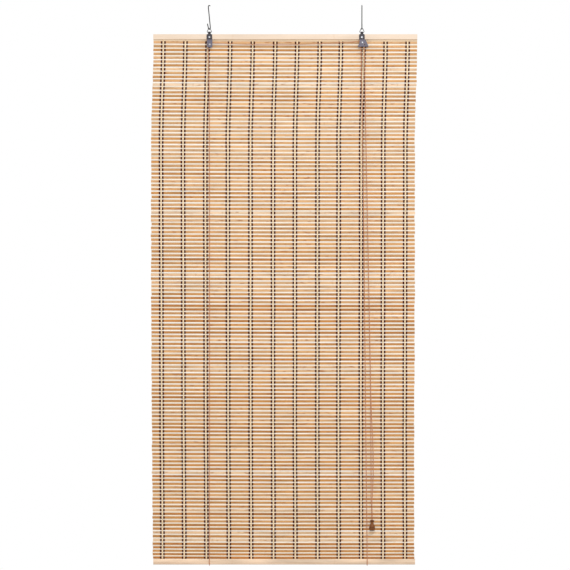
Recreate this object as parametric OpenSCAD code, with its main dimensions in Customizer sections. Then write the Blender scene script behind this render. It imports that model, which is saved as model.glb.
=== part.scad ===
// Bamboo roll-up blind: a mat of brown and pale slats held between a head rail and a bottom rail,
// with a pulley and a cord lock on the head rail. Millimetres, +Z up, the front faces -Y.
// The origin is on the back of the head rail, at its middle.

/* [Head rail] */
// Width of the head rail
head_w = 800; // [700:10:1200]
// Height of the two head battens
head_h = 16; // [13:0.5:22]
// Thickness of the front head batten
head_front_t = 7; // [6.5:0.5:12]
// Thickness of the rear head batten
head_rear_t = 7; // [6:0.5:12]
// Rounding of the head battens' outer edges
head_round = 1.2; // [0.4:0.1:2]

/* [Slat mat] */
// Length of a slat
slat_l = 799; // [699:10:1199]
// Rows of slats that show between the rails
slat_rows = 136; // [60:1:160]
// Height of a brown slat
brown_h = 6.9; // [4:0.1:10]
// Thickness of a brown slat
brown_t = 2.2; // [1.6:0.1:3]
// Height of a pale slat
pale_h = 4.67; // [3:0.01:8]
// Thickness of a pale slat
pale_t = 3.6; // [3:0.1:5]
// Thickness of the wall where two slats meet
seam_t = 0.9; // [0.6:0.1:1.4]
// Height of the bevel along a brown slat
brown_bevel = 1; // [0.4:0.1:1.6]
// Height of the bevel along a pale slat
pale_bevel = 1.1; // [0.4:0.1:1.4]
// Height of the open gap between two slats
gap_h = 0.5; // [0.2:0.1:0.7]
// Length of mat at each end of a gap that stays closed
gap_margin = 34; // [20:1:60]
// Rows at the top and bottom of the mat that stay closed
closed_rows = 10; // [2:1:20]
// How far the mat wanders to the left below the head rail
mat_drift = 7; // [1:0.5:14]
// How far it comes back towards the bottom rail
mat_return = 1.5; // [0.5:0.5:8]
// How far each end of the slats draws in towards the bottom
mat_taper = 3.5; // [0:0.5:8]

/* [Warp threads] */
// Number of thread bands across the mat
band_count = 12; // [4:1:16]
// Distance between two bands
band_pitch = 67; // [30:0.5:75]
// Distance between the two dark threads of a band
dark_spread = 9.4; // [9.2:0.1:16]
// Width of a dark thread
dark_w = 3.6; // [2:0.1:3.7]
// Width of the pale threads between them
tan_w = 5.4; // [3:0.1:5.5]
// Thickness of a thread on the face of the mat
thread_t = 0.4; // [0.2:0.1:0.8]

/* [Bottom rail] */
// Width of the bottom rail
bottom_w = 793; // [693:10:1193]
// How far the bottom rail sits to the left of the head rail's middle
bottom_shift = 3.5; // [0:0.5:10]
// Height of the two bottom battens
bottom_h = 17; // [14:0.5:24]
// Thickness of the front bottom batten
bottom_front_t = 7; // [5:0.5:7]
// Thickness of the rear bottom batten
bottom_rear_t = 4; // [3.5:0.25:4]
// Rounding of the bottom battens' outer edges
bottom_round = 2.4; // [1:0.1:3]

/* [Nails] */
// Distance between two nails
nail_pitch = 180; // [40:5:300]
// Least distance of a nail from a rail's end
nail_end = 25; // [10:1:60]
// Diameter of a nail
nail_d = 1.6; // [1:0.1:2.4]
// Diameter of a nail's head
nail_head_d = 3.6; // [2.6:0.1:5]
// Thickness of a nail's head
nail_head_t = 0.6; // [0.4:0.1:1.2]
// Depth of a nail in the front batten
nail_bite = 4; // [2:0.25:4.5]

/* [Straps] */
// Distance of the left strap from the head rail's middle
left_strap_x = 230; // [100:1:330]
// Distance of the right strap from the head rail's middle
right_strap_x = 232; // [100:1:330]
// Width of a strap
strap_w = 17; // [14:0.5:24]
// Thickness of a strap
strap_t = 1.2; // [0.8:0.1:1.6]
// Height of a strap's shoulders above the head rail's middle
shoulder_z = 9.5; // [8.5:0.1:10.5]
// Height of the slanted cut under a shoulder
shoulder_cut = 3; // [1:0.25:5]
// Width of the neck that rolls round the ring
neck_w = 8.25; // [5:0.25:8.5]
// Height of the rolled eye above the head rail's middle
eye_z = 13.4; // [12:0.1:18]

/* [Strap screws] */
// Diameter of a screw
screw_d = 3; // [2:0.1:4]
// Diameter of a screw's head
screw_head_d = 5.4; // [4.5:0.1:8]
// Height of a screw's head
screw_head_t = 1.4; // [0.8:0.1:2.2]
// Depth of a screw in the head rail
screw_bite = 5.5; // [3:0.25:6]
// Distance of a screw below the head rail's middle
screw_drop = 1; // [0:0.25:3]
// Width of the cross recess
recess_w = 0.8; // [0.4:0.1:1.2]
// Depth of the cross recess
recess_h = 0.7; // [0.3:0.1:0.75]

/* [Cords] */
// Diameter of a cord
cord_d = 2.3; // [1.6:0.1:2.6]
// Diameter of the doubled tail above the knob
tail_d = 3.2; // [2.4:0.1:3.4]
// Room round a cord in a groove or hole
cord_room = 0.3; // [0.2:0.05:0.4]
// Diameter of a knot
knot_d = 6.4; // [4:0.1:8]

/* [Left pulley] */
// Distance of the wheel to the right of the strap's middle
pulley_shift = 1.2; // [0:0.1:2]
// Distance of the wheel below the head rail's middle
pulley_drop = 23.5; // [20:0.1:24]
// Radius of the cord's middle on the wheel
pulley_cord_r = 5.4; // [5:0.1:6.5]
// Diameter of the wheel
pulley_d = 14; // [12.8:0.1:15]
// Width of the wheel
pulley_w = 5; // [4.6:0.1:7]
// Width of the pulley cover
cover_w = 16; // [15.2:0.1:22]
// Height of the pulley cover
cover_h = 24; // [23.5:0.25:32]
// Thickness of the sheet in both covers
cover_t = 1; // [0.6:0.1:1.2]
// Outer radius of the bend at the top of both covers
cover_bend_r = 2; // [1.4:0.1:2.6]
// Rounding of the pulley cover's lower corners
cover_round = 3; // [1:0.1:6]

/* [Axles] */
// Diameter of an axle
axle_d = 3; // [2:0.1:3.4]
// Room between an axle or pin and its hole
axle_room = 0.05; // [0.02:0.01:0.08]
// Room beside a wheel or roller
side_room = 0.3; // [0.2:0.05:0.5]
// Diameter of a rivet's head
rivet_head_d = 6; // [4.5:0.1:6.4]
// Height of a rivet's head
rivet_head_t = 0.9; // [0.5:0.1:1.5]

/* [Cord lock] */
// Distance of the lock's wheel to the right of the strap's middle
lock_shift = 1.5; // [0:0.1:2]
// Distance of the lock's wheel below the head rail's middle
lock_drop = 17.4; // [17:0.1:18]
// Radius of the cords' middle on the lock's wheel
lock_cord_r = 4.85; // [4.4:0.05:5.2]
// Diameter of the lock's wheel
lock_d = 12.4; // [11.6:0.1:13]
// Width of the lock's wheel
lock_w = 8.4; // [8:0.1:10]
// Distance between the wheel's two grooves
groove_pitch = 4.2; // [4:0.05:4.6]
// Height of the bell-shaped cover
bell_h = 22; // [21:0.25:28]
// Half width of the bell at its top
bell_top = 8.4; // [7.5:0.1:10]
// How far the bell flares to the left
bell_flare_l = 6; // [1:0.25:9]
// How far the bell flares to the right
bell_flare_r = 10; // [8.5:0.25:13]
// Diameter of the fluted roller
roller_d = 3.6; // [3:0.1:3.8]
// Diameter of the roller's pins
roller_pin_d = 1.8; // [1.2:0.1:2]
// Flutes round the roller
flute_count = 9; // [5:1:12]
// Radius of a flute
flute_r = 0.35; // [0.2:0.05:0.45]
// Lower end of the roller's slot to the right of the lock's wheel
slot_x = 10.5; // [10:0.1:11]
// Lower end of the roller's slot below the lock's wheel
slot_drop = 9.6; // [8.5:0.1:10]
// Length of the slot between the middles of its ends
slot_l = 9.2; // [4:0.1:9.6]
// Slope of the slot, in degrees
slot_slope = 40; // [35:1:50]

/* [Wire bends] */
// How much thinner the wire is where it is bent
bend_thin = 0.06; // [0.05:0.01:0.12]
// How far a bend runs into its straights, in degrees
bend_lap = 4; // [2:0.5:5]

/* [Rings] */
// Diameter of the ring's wire
ring_wire_d = 2; // [1.2:0.1:2.2]
// Half length of the ring's straight base
ring_half_base = 4.6; // [4.3:0.1:7]
// Radius of the ring's lower corners
ring_base_r = 2; // [1.4:0.1:3]
// Radius of the ring's top
ring_top_r = 3.4; // [3.2:0.1:4.5]
// Height of the ring between the middles of its wire
ring_h = 12.2; // [11:0.1:20]

/* [Hooks] */
// Diameter of the hook's wire
hook_wire_d = 2.8; // [1.6:0.1:2.9]
// Radius of the hook's bends
hook_bend_r = 5.2; // [5:0.1:8]
// Height of the hook between the middles of its wire
hook_h = 72.4; // [40:0.2:120]
// Length of the short leg
hook_leg = 14; // [4:0.5:20]
// Lean of the short leg, in degrees
hook_leg_lean = 20; // [0:1:30]
// Sweep of the upper bend past its top, in degrees
hook_top_sweep = 45; // [10:1:120]
// Angle between the left hook and the head rail, in degrees
left_hook_turn = 55; // [50:1:90]
// Angle between the right hook and the head rail, in degrees
right_hook_turn = 90; // [50:1:90]
// Room between the hook and the ring
hook_room = 0.75; // [0.3:0.05:0.9]

/* [Knob] */
// Diameter of the knob
knob_d = 17.4; // [12:0.1:18]
// Height of the knob
knob_h = 32; // [20:0.5:40]
// Diameter of the hole for the cord
knob_hole_d = 3.8; // [3.6:0.1:4.4]
// Diameter of the hollow under the knob
knob_hollow_d = 9.6; // [7.6:0.1:10]
// Depth of the hollow under the knob
knob_hollow_h = 10; // [8:0.25:14]

/* [Hidden] */
$fn = 48;

// Overrun of every cut past the faces that it opens
overrun = 1;

// Levels from the back of the head rail to its front
mat_back_y = -head_rear_t;
mat_mid_y = mat_back_y - pale_t / 2;
mat_front_y = mat_back_y - pale_t;
head_front_y = mat_front_y - head_front_t;
strap_front_y = head_front_y - strap_t;
pulley_y = strap_front_y - side_room - pulley_w / 2;
cover_back_y = pulley_y - pulley_w / 2 - side_room;
cover_front_y = cover_back_y - cover_t;
lock_y = strap_front_y - side_room - lock_w / 2;
bell_back_y = lock_y - lock_w / 2 - side_room;
bell_front_y = bell_back_y - cover_t;

// Heights of the rails and the mat
slat_pitch = brown_h + pale_h;
head_low_z = -head_h / 2;
drop = slat_rows * slat_pitch;
bottom_top_z = head_low_z - drop;
bottom_mid_z = bottom_top_z - bottom_h / 2;
mat_top_z = head_low_z + slat_pitch;
mat_low_z = bottom_top_z - slat_pitch;
mat_rows = slat_rows + 2;
head_nail_z = head_low_z + slat_pitch / 2;
bottom_nail_z = bottom_top_z - slat_pitch / 2;
bottom_back_y = mat_back_y + bottom_rear_t;

// Shares of the drop at which the mat has wandered out, and starts to come back
drift_share = 0.2;
return_share = 0.7;
// Share of the drop where the slats' ends start to draw in
taper_share = 0.4;
drift_steps = 8;

function eased(t) = let (c = max(0, min(1, t))) c * c * (3 - 2 * c);
function drop_share(z) = (head_low_z - z) / drop;
function drift(z) =
  let (s = drop_share(z))
  mat_return * eased((s - return_share) / (1 - return_share)) - mat_drift * eased(s / drift_share);
function taper(z) =
  let (s = (head_low_z - z) / drop) mat_taper * eased((s - taper_share) / (1 - taper_share));
function stations(top, low) = [for (i = [0:drift_steps]) top + (low - top) * i / drift_steps];

// Places of the fittings
left_x = -left_strap_x;
right_x = right_strap_x;
pulley_x = left_x + pulley_shift;
lock_x = right_x + lock_shift;
cover_low_z = head_low_z - cover_h;
bell_low_z = head_low_z - bell_h;
eye_r = ring_wire_d / 2 + axle_room + strap_t;
eye_y = head_front_y - eye_r;
slot_angle = 180 - slot_slope;
slot_low = [lock_x + slot_x, -lock_drop - slot_drop];
groove_w = cord_d + 2 * cord_room;

// Outline of the bell: shares of its height, of its left flare and of its right flare
bell_shares = [[0, 0, 0], [0.25, 0, 0.32], [0.5, 0.1, 0.6], [0.75, 0.5, 0.83], [1, 1, 1]];

// Outline of the knob: shares of its height from the top, and of its radius
knob_shares = [
  [0, 0.4], [0.02, 0.6], [0.06, 0.77], [0.1, 0.8], [0.14, 0.74], [0.19, 0.57], [0.25, 0.5], [0.31, 0.52],
  [0.4, 0.66], [0.52, 0.85], [0.64, 0.96], [0.76, 1], [0.87, 0.98], [0.95, 0.9], [1, 0.77]
];

// Routes of the cords
cord_sides = 8;
left_front_route = [
  [-234.2, -21.6, -23.5], [-230.6, -21.5, -150], [-229.3, -21.3, -300], [-229.1, -20.9, -600],
  [-229.2, -20.2, -1100], [-230, -19.3, -1570], [-230, -19.3, -1588]
];
right_front_route = [
  [228.7, -21.2, -17.4], [231.2, -21.2, -120], [234.1, -21.1, -300], [237.9, -20.8, -600],
  [241, -20.4, -880], [243.9, -20, -1180], [248, -19.3, -1570], [248, -19.3, -1588]
];
// A loop under the bottom rail, seen along the rail
loop_route = [
  [-19.3, -1588], [-19.3, -1596.2], [-18.7, -1598.5], [-17, -1600.2], [-14.7, -1600.8], [-5.9, -1600.8],
  [-3.6, -1600.2], [-1.9, -1598.5], [-1.3, -1596.2], [-1.3, -1588]
];
left_loop_x = -230;
right_loop_x = 248;
left_back_route = [[-230, -1.3, -1588], [-230, -1.3, -1570], [-230, -2, -800], [-230, -3.5, -8]];
right_back_route = [[248, -1.3, -1588], [248, -1.3, -1570], [240, -2, -800], [232, -3.5, -8]];
cross_route = [
  [-234.2, -21.6, -23.5], [-233.5, -21.6, -20.8], [-231.5, -21.6, -18.8], [-228.8, -21.6, -18.1],
  [-222, -21.7, -18.4], [-180, -22, -20.6], [-110, -22.6, -23.1], [-30, -23.2, -24.1], [60, -23.9, -22.7],
  [140, -24.6, -19.4], [200, -25.1, -15.7], [226, -25.4, -13.3], [233.1, -25.4, -12.6], [236.2, -25.4, -13.4],
  [237.9, -25.4, -15.3], [238.4, -25.4, -17.4]
];
front_strand_route = [
  [238.4, -25.4, -17.4], [241, -25.4, -120], [244, -25.6, -300], [249.8, -25.8, -600], [255.6, -26, -900],
  [260.2, -26.1, -1120], [265.4, -26.2, -1240], [266.2, -26.2, -1320], [262.6, -26.2, -1410]
];
rear_strand_route = [
  [228.7, -21.2, -17.4], [229.3, -21.2, -15], [231.1, -21.2, -13.2], [233.5, -21.2, -12.5],
  [235.9, -21.2, -13.2], [237.7, -21.2, -15], [238.4, -21.2, -17.4], [241, -21.6, -120],
  [244, -22.4, -300], [249.6, -22.8, -600],
  [255.2, -23, -900], [258.6, -23.2, -1120], [259.2, -24, -1240], [259.8, -25.2, -1320], [259.8, -26.2, -1410]
];
tail_route = [[261.4, -26.2, -1416.4], [262.4, -26.2, -1440], [262.6, -26.2, -1485]];
knob_top = [262.6, -26.2, -1463];
pull_knot_middle = [261.3, -26.2, -1413.2];
anchor_y = -3.5;

// Bars, plates and wires that several pieces share

// Section of a batten: its inner face on the left, its rounded edges on the right
module batten_section(t, h, r) {
  difference() {
    translate([0, -h / 2]) square([t, h]);
    for (side = [0, 1])
      mirror([0, side])
        translate([t - r, h / 2 - r])
          difference() {
            square(r + overrun);
            circle(r);
          }
  }
}

// A batten along X whose inner face is at y = 0; out is -1 towards the front and 1 towards the back
module batten(w, t, h, r, out) {
  rotate([90, 0, 90])
    linear_extrude(w, center = true)
      mirror([out < 0 ? 1 : 0, 0])
        batten_section(t, h, r);
}

// Nails along a rail of width w, driven from the back at y = back_y, as many as the rail and the slats take
module nails(w, mid_x, back_y, z) {
  pairs = floor((min(w, slat_l) / 2 - nail_end) / nail_pitch);
  for (i = [-pairs:pairs])
    translate([mid_x + i * nail_pitch, back_y, z])
      rotate([90, 0, 0]) {
        cylinder(d = nail_head_d, h = nail_head_t);
        cylinder(d = nail_d, h = back_y - mat_front_y + nail_bite);
      }
}

// A flat plate in front of y = back_y, from an outline in X and Z
module plate(back_y, t) {
  translate([0, back_y, 0]) rotate([90, 0, 0]) linear_extrude(t) children();
}

// A round bar or hole along Y from y = back_y towards the front
module along_y(x, back_y, z, d, l) {
  translate([x, back_y, z]) rotate([90, 0, 0]) cylinder(d = d, h = l);
}

// A straight wire between two points of the drawing plane
module wire_rod(p, q, d) {
  translate([p.x, p.y, 0])
    rotate([0, 0, atan2(q.y - p.y, q.x - p.x)])
      rotate([0, 90, 0])
        cylinder(d = d, h = norm(q - p));
}

// A bent wire in the drawing plane, round a centre from one angle to another;
// it is thinner than the straights, and runs a little into them
module wire_arc(centre, r, from, to, d) {
  translate([centre.x, centre.y, 0])
    rotate([0, 0, from - bend_lap])
      rotate_extrude(angle = to - from + 2 * bend_lap)
        translate([r, 0]) circle(d = d - bend_thin);
}

// A tube along a route; side is a direction that the route never takes
module tube(route, d, side) {
  last = len(route) - 1;
  rings = [for (i = [0:last])
    let (
      ahead = route[min(i + 1, last)] - route[max(i - 1, 0)],
      u = cross(ahead, side) / norm(cross(ahead, side)),
      v = cross(ahead, u) / norm(ahead)
    )
    [for (k = [0:cord_sides - 1])
      let (a = 360 * k / cord_sides) route[i] + d / 2 * (cos(a) * u + sin(a) * v)]];
  skin = [for (i = [0:last - 1], k = [0:cord_sides - 1])
    let (a = i * cord_sides + k, b = i * cord_sides + (k + 1) % cord_sides)
    each [[a, b, b + cord_sides], [a, b + cord_sides, a + cord_sides]]];
  first_cap = [for (k = [0:cord_sides - 1]) cord_sides - 1 - k];
  last_cap = [for (k = [0:cord_sides - 1]) last * cord_sides + k];
  polyhedron([for (ring = rings) each ring], concat(skin, [first_cap, last_cap]));
}

// Head rail

module head_front_batten() {
  color("#f6dfc2")
    difference() {
      translate([0, mat_front_y, 0]) batten(head_w, head_front_t, head_h, head_round, -1);
      nails(head_w, 0, 0, head_nail_z);
      for (x = [left_x, right_x])
        along_y(x, head_front_y + screw_bite, -screw_drop, screw_d, screw_bite + overrun);
    }
}

module head_rear_batten() {
  color("#f0d6b4")
    difference() {
      translate([0, mat_back_y, 0]) batten(head_w, head_rear_t, head_h, head_round, 1);
      nails(head_w, 0, 0, head_nail_z);
      for (x = [left_x, right_x])
        translate([x, anchor_y, 0])
          cylinder(d = cord_d + 2 * cord_room, h = head_h + 2 * overrun, center = true);
    }
}

module head_nails() {
  color("#9a9a98") nails(head_w, 0, 0, head_nail_z);
}

// Slat mat

// Section of the mat from its back to its front, one pale and one brown ridge to a row
module mat_section() {
  seam = seam_t / 2;
  edge = [
    [0, seam], [pale_bevel, pale_t / 2], [pale_h - pale_bevel, pale_t / 2],
    [pale_h, seam], [pale_h + brown_bevel, brown_t / 2], [slat_pitch - brown_bevel, brown_t / 2]
  ];
  half = concat(
    [for (row = [0:mat_rows - 1], p = edge) [p.y, mat_top_z - row * slat_pitch - p.x]],
    [[seam, mat_low_z]]
  );
  last = len(half) - 1;
  polygon(concat(
    [for (p = half) [mat_mid_y - p.x, p.y]],
    [for (i = [0:last]) [mat_mid_y + half[last - i].x, half[last - i].y]]
  ));
}

// What is trimmed off one end of the slats, so that the edge follows the mat's drift
module mat_trim(side) {
  zs = stations(mat_top_z + overrun, mat_low_z - overrun);
  far_x = side * (slat_l / 2 + 3 * mat_drift);
  plate(mat_back_y + overrun, pale_t + 2 * overrun)
    polygon(concat(
      [for (z = zs) [side * (slat_l / 2 - taper(z)) + drift(z), z]],
      [[far_x, zs[drift_steps]], [far_x, zs[0]]]
    ));
}

module mat_gaps() {
  for (row = [closed_rows:mat_rows - 1 - closed_rows]) {
    z = mat_top_z - row * slat_pitch - pale_h;
    translate([drift(z), mat_mid_y, z])
      cube([slat_l - 2 * gap_margin, pale_t + 2 * overrun, gap_h], center = true);
  }
}

module slat_mat() {
  color("#cd9a67")
    difference() {
      rotate([90, 0, 90]) linear_extrude(slat_l + 4 * mat_drift, center = true) mat_section();
      mat_trim(-1);
      mat_trim(1);
      mat_gaps();
      nails(head_w, 0, 0, head_nail_z);
      nails(bottom_w, -bottom_shift, bottom_back_y, bottom_nail_z);
    }
}

// Thread strips on the face of the mat, at an offset from each band's middle
module thread_strips(offsets, w) {
  zs = stations(head_low_z, bottom_top_z);
  for (i = [0:band_count - 1], offset = offsets) {
    mid_x = (i - (band_count - 1) / 2) * band_pitch + offset;
    plate(mat_front_y, thread_t)
      polygon(concat(
        [for (z = zs) [mid_x - w / 2 + drift(z), z]],
        [for (k = [0:drift_steps]) [mid_x + w / 2 + drift(zs[drift_steps - k]), zs[drift_steps - k]]]
      ));
  }
}

module dark_warp_threads() {
  color("#4b2314") thread_strips([-dark_spread / 2, dark_spread / 2], dark_w);
}

module tan_warp_threads() {
  color("#dcbb94") thread_strips([0], tan_w);
}

// Bottom rail

module bottom_front_batten() {
  color("#f0d8bc")
    difference() {
      translate([-bottom_shift, mat_front_y, bottom_mid_z])
        batten(bottom_w, bottom_front_t, bottom_h, bottom_round, -1);
      nails(bottom_w, -bottom_shift, bottom_back_y, bottom_nail_z);
    }
}

module bottom_rear_batten() {
  color("#ead0ac")
    difference() {
      translate([-bottom_shift, mat_back_y, bottom_mid_z])
        batten(bottom_w, bottom_rear_t, bottom_h, bottom_round, 1);
      nails(bottom_w, -bottom_shift, bottom_back_y, bottom_nail_z);
    }
}

module bottom_nails() {
  color("#9a9a98") nails(bottom_w, -bottom_shift, bottom_back_y, bottom_nail_z);
}

// Fittings

module strap_screws() {
  color("#c9cacb")
    for (x = [left_x, right_x])
      difference() {
        union() {
          along_y(x, head_front_y + screw_bite, -screw_drop, screw_d, screw_bite + strap_t + screw_head_t);
          along_y(x, strap_front_y, -screw_drop, screw_head_d, screw_head_t);
        }
        for (turn = [0, 90])
          translate([x, strap_front_y - screw_head_t, -screw_drop])
            rotate([0, turn, 0])
              cube([screw_head_d / 2, 2 * recess_h, recess_w], center = true);
      }
}

// Outline of a strap's upper part, about the strap's middle
module strap_outline() {
  polygon([
    [-strap_w / 2, head_low_z], [strap_w / 2, head_low_z], [strap_w / 2, shoulder_z - shoulder_cut],
    [neck_w / 2, shoulder_z], [neck_w / 2, eye_z], [-neck_w / 2, eye_z], [-neck_w / 2, shoulder_z],
    [-strap_w / 2, shoulder_z - shoulder_cut]
  ]);
}

// Outline of the pulley cover from top_z down, about the wheel's middle
module cover_outline(top_z) {
  side = cover_w / 2;
  translate([-side, cover_low_z + cover_round]) square([cover_w, top_z - cover_low_z - cover_round]);
  translate([cover_round - side, cover_low_z]) square([cover_w - 2 * cover_round, cover_round]);
  for (s = [-1, 1]) translate([s * (side - cover_round), cover_low_z + cover_round]) circle(cover_round);
}

// Outline of the bell below top_z, about the wheel's middle
module bell_outline(top_z) {
  h = top_z - bell_low_z;
  left = [for (s = bell_shares) [-bell_top - s[1] * bell_flare_l, top_z - s[0] * h]];
  right = [for (s = bell_shares) [bell_top + s[2] * bell_flare_r, top_z - s[0] * h]];
  last = len(right) - 1;
  polygon(concat(left, [for (i = [0:last]) right[last - i]]));
}

module slot_outline() {
  r = roller_pin_d / 2 + axle_room;
  translate(slot_low)
    rotate(slot_angle) {
      translate([0, -r]) square([slot_l, 2 * r]);
      circle(r);
      translate([slot_l, 0]) circle(r);
    }
}

// A strap with its rolled eye and screw hole; its lower outline is the child
module strap(x) {
  difference() {
    union() {
      plate(head_front_y, strap_t) {
        translate([x, 0]) strap_outline();
        children();
      }
      translate([x, eye_y, eye_z]) rotate([0, 90, 0]) cylinder(r = eye_r, h = neck_w, center = true);
    }
    translate([x, eye_y, eye_z])
      rotate([0, 90, 0])
        cylinder(r = eye_r - strap_t, h = neck_w + 2 * overrun, center = true);
    along_y(x, head_front_y + overrun, -screw_drop, screw_d, strap_t + 2 * overrun);
  }
}

module left_strap() {
  color("#3d4044")
    difference() {
      strap(left_x) translate([pulley_x, 0]) cover_outline(head_low_z);
      along_y(pulley_x, head_front_y + overrun, -pulley_drop, axle_d, strap_t + 2 * overrun);
    }
}

module lock_strap() {
  color("#3d4044")
    difference() {
      strap(right_x) translate([lock_x, 0]) bell_outline(head_low_z);
      along_y(lock_x, head_front_y + overrun, -lock_drop, axle_d, strap_t + 2 * overrun);
      plate(head_front_y + overrun, strap_t + 2 * overrun) slot_outline();
    }
}

// A cover of bent sheet: a lip on the strap, a round bend and a front plate whose outline is the child
module bent_cover(x, w, back_y) {
  bend_y = back_y - cover_t + cover_bend_r;
  plate(back_y, cover_t) children();
  translate([x, bend_y, head_low_z - cover_bend_r])
    rotate([90, 0, 90])
      rotate([0, 0, 90])
        rotate_extrude(angle = 90)
          translate([cover_bend_r - cover_t, -w / 2]) square([cover_t, w]);
  translate([x - w / 2, bend_y, head_low_z - cover_t]) cube([w, strap_front_y - bend_y, cover_t]);
}

module left_pulley_cover() {
  color("#8f98a3")
    difference() {
      bent_cover(pulley_x, cover_w, cover_back_y)
        translate([pulley_x, 0]) cover_outline(head_low_z - cover_bend_r);
      along_y(pulley_x, cover_back_y + overrun, -pulley_drop, axle_d, cover_t + 2 * overrun);
    }
}

module lock_cover() {
  color("#8f98a3")
    difference() {
      bent_cover(lock_x, 2 * bell_top, bell_back_y)
        translate([lock_x, 0]) bell_outline(head_low_z - cover_bend_r);
      along_y(lock_x, bell_back_y + overrun, -lock_drop, axle_d, cover_t + 2 * overrun);
      plate(bell_back_y + overrun, cover_t + 2 * overrun) slot_outline();
    }
}

// A wheel on an axle along Y with grooves that widen outwards
module wheel(w, d, cord_r, grooves) {
  floor_r = cord_r - cord_d / 2 - cord_room;
  bore_r = axle_d / 2 + axle_room;
  rotate([90, 0, 0])
    rotate_extrude()
      difference() {
        translate([bore_r, -w / 2]) square([d / 2 - bore_r, w]);
        for (g = grooves)
          translate([0, g])
            polygon([
              [floor_r, -groove_w / 2], [d / 2 + overrun, -groove_w / 2 - cord_room],
              [d / 2 + overrun, groove_w / 2 + cord_room], [floor_r, groove_w / 2]
            ]);
      }
}

module left_pulley_wheel() {
  color("#e8e4da")
    translate([pulley_x, pulley_y, -pulley_drop])
      wheel(pulley_w, pulley_d, pulley_cord_r, [0]);
}

module lock_wheel() {
  color("#e8e4da")
    translate([lock_x, lock_y, -lock_drop])
      wheel(lock_w, lock_d, lock_cord_r, [-groove_pitch / 2, groove_pitch / 2]);
}

// An axle riveted over a strap and a cover
module axle_rivet(x, z, front_y) {
  along_y(x, head_front_y + rivet_head_t, z, rivet_head_d, rivet_head_t);
  along_y(x, head_front_y, z, axle_d, head_front_y - front_y);
  translate([x, front_y, z]) rotate([90, 0, 0]) cylinder(d1 = rivet_head_d, d2 = axle_d, h = rivet_head_t);
}

module left_axle_rivet() {
  color("#d5d7d9") axle_rivet(pulley_x, -pulley_drop, cover_front_y);
}

module lock_axle_rivet() {
  color("#d5d7d9") axle_rivet(lock_x, -lock_drop, bell_front_y);
}

// The fluted roller at the lower end of its slot
module lock_roller() {
  body_l = strap_front_y - bell_back_y - 2 * side_room;
  color("#b9bcc0")
    translate([slot_low.x, 0, slot_low.y]) {
      plate(strap_front_y - side_room, body_l)
        difference() {
          circle(d = roller_d);
          for (i = [0:flute_count - 1])
            rotate(360 * i / flute_count) translate([roller_d / 2, 0]) circle(flute_r);
        }
      along_y(0, head_front_y, 0, roller_pin_d, head_front_y - bell_front_y);
    }
}

// A pear-shaped ring whose base lies in a strap's eye
module ring(x) {
  base = [ring_half_base, ring_base_r];
  top = [0, ring_h - ring_top_r];
  way = top - base;
  lean = atan2(way.y, way.x) - acos((ring_base_r - ring_top_r) / norm(way));
  out = [cos(lean), sin(lean)];
  color("#b4b6b8")
    translate([x, eye_y, eye_z])
      rotate([90, 0, 0]) {
        wire_rod([-ring_half_base, 0], [ring_half_base, 0], ring_wire_d);
        wire_arc(top, ring_top_r, lean, 180 - lean, ring_wire_d);
        wire_arc(base, ring_base_r, -90, lean, ring_wire_d);
        wire_arc([-base.x, base.y], ring_base_r, 180 - lean, 270, ring_wire_d);
        for (side = [-1, 1])
          wire_rod(
            [side * (base.x + ring_base_r * out.x), base.y + ring_base_r * out.y],
            [side * ring_top_r * out.x, top.y + ring_top_r * out.y],
            ring_wire_d
          );
      }
}

module left_ring() {
  ring(left_x);
}

module right_ring() {
  ring(right_x);
}

// An S-hook whose lower bend holds a ring's top
module hook(x, turn) {
  d = hook_wire_d;
  r = hook_bend_r;
  seat_z = eye_z + ring_h - ring_wire_d / 2 - hook_room - d / 2;
  low = [0, r];
  top = [0, hook_h - r];
  lean = asin(2 * r / (hook_h - 2 * r));
  out = r * [cos(lean), sin(lean)];
  leg_angle = -180 + hook_leg_lean;
  leg_foot = low + r * [cos(leg_angle), sin(leg_angle)];
  leg_tip = leg_foot + hook_leg * [-sin(hook_leg_lean), cos(hook_leg_lean)];
  color("#4a4c4f")
    translate([x, eye_y, seat_z])
      rotate([0, 0, turn])
        rotate([90, 0, 0]) {
          wire_rod(low + out, top - out, d);
          wire_arc(low, r, leg_angle, lean, d);
          wire_rod(leg_foot, leg_tip, d);
          wire_arc(top, r, 90 - hook_top_sweep + bend_lap, 180 + lean, d);
        }
}

module left_hook() {
  hook(left_x, left_hook_turn);
}

module right_hook() {
  hook(right_x, right_hook_turn);
}

// Cords

module lift_cord(route) {
  color("#c4835f") tube(route, cord_d, [0, 1, 0]);
}

module bottom_loop(x) {
  color("#c4835f") tube([for (p = loop_route) [x, p.x, p.y]], cord_d, [1, 0, 0]);
}

// A knot on top of the head rail, with the cord that goes down through it
module anchor_knot(x) {
  color("#c4835f") {
    translate([x, anchor_y, -head_h / 2]) cylinder(d = cord_d, h = head_h);
    translate([x, anchor_y, head_h / 2])
      intersection() {
        translate([0, 0, knot_d / 4]) sphere(d = knot_d);
        translate([-knot_d / 2, -knot_d / 2, 0]) cube(knot_d);
      }
  }
}

module left_front_cord() {
  lift_cord(left_front_route);
}

module left_bottom_loop() {
  bottom_loop(left_loop_x);
}

module left_back_cord() {
  lift_cord(left_back_route);
}

module left_anchor_knot() {
  anchor_knot(left_x);
}

module cross_cord() {
  lift_cord(cross_route);
}

module right_front_cord() {
  lift_cord(right_front_route);
}

module right_bottom_loop() {
  bottom_loop(right_loop_x);
}

module right_back_cord() {
  lift_cord(right_back_route);
}

module right_anchor_knot() {
  anchor_knot(right_x);
}

module front_pull_strand() {
  lift_cord(front_strand_route);
}

module rear_pull_strand() {
  lift_cord(rear_strand_route);
}

module pull_knot() {
  color("#b9764f") translate(pull_knot_middle) sphere(d = knot_d);
}

module pull_tail() {
  color("#c4835f") tube(tail_route, tail_d, [0, 1, 0]);
}

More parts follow.
